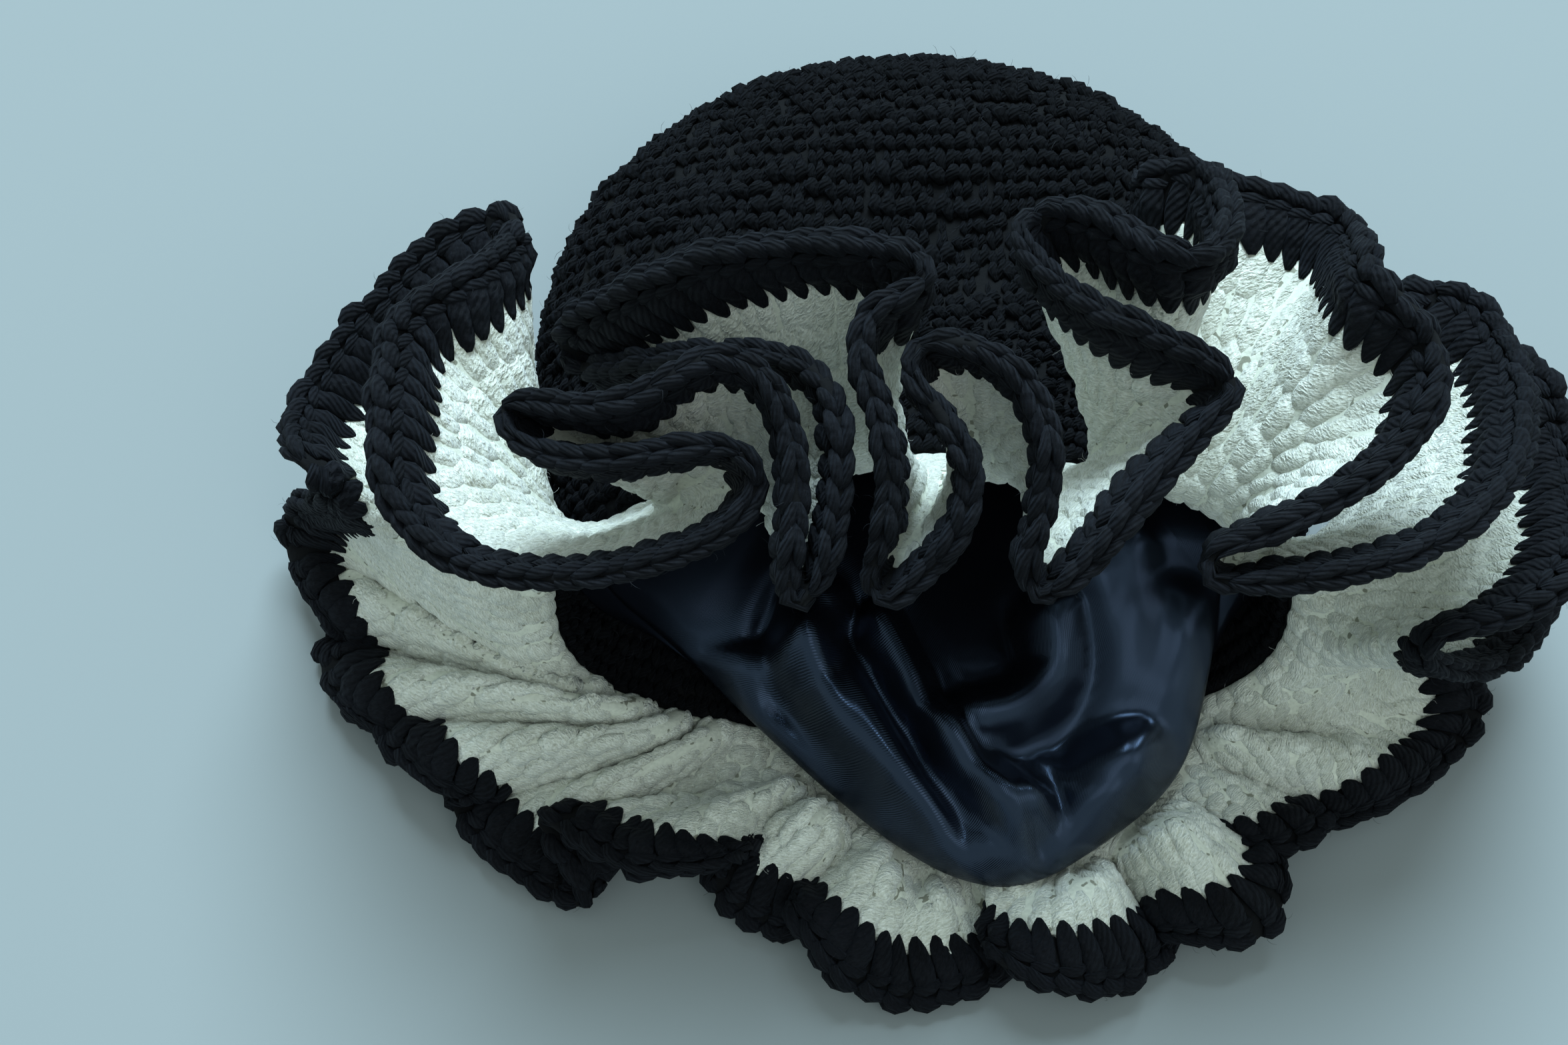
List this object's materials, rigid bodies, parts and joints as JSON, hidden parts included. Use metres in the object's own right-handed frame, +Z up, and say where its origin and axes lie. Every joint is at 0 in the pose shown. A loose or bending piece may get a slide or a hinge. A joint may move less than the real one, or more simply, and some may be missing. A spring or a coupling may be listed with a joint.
{
  "type": "crocheted bucket hat",
  "caption": "Soft crocheted bucket hat for the head, lying on its side, with a dark crown, a wide ruffled pale brim with a dark edging, and a thin lining pulled out of the mouth.",
  "frame": {"origin": "middle of the bounding box, at the height of the table that the hat lies on", "axes": "+Z up from the table, -Y the way the mouth of the hat faces, +X to the right of a person who looks into the mouth"},
  "size_m": [0.4252, 0.3222, 0.1964],
  "materials": {
    "crown_yarn": "matte crocheted yarn",
    "brim_yarn": "matte crocheted yarn",
    "edging_yarn": "matte crocheted yarn",
    "lining_satin": "smooth satin"
  },
  "bodies": {
    "root": {"crown": "crown_yarn", "brim": "brim_yarn", "brim_edging": "edging_yarn", "lining": "lining_satin"}
  },
  "joints": []
}
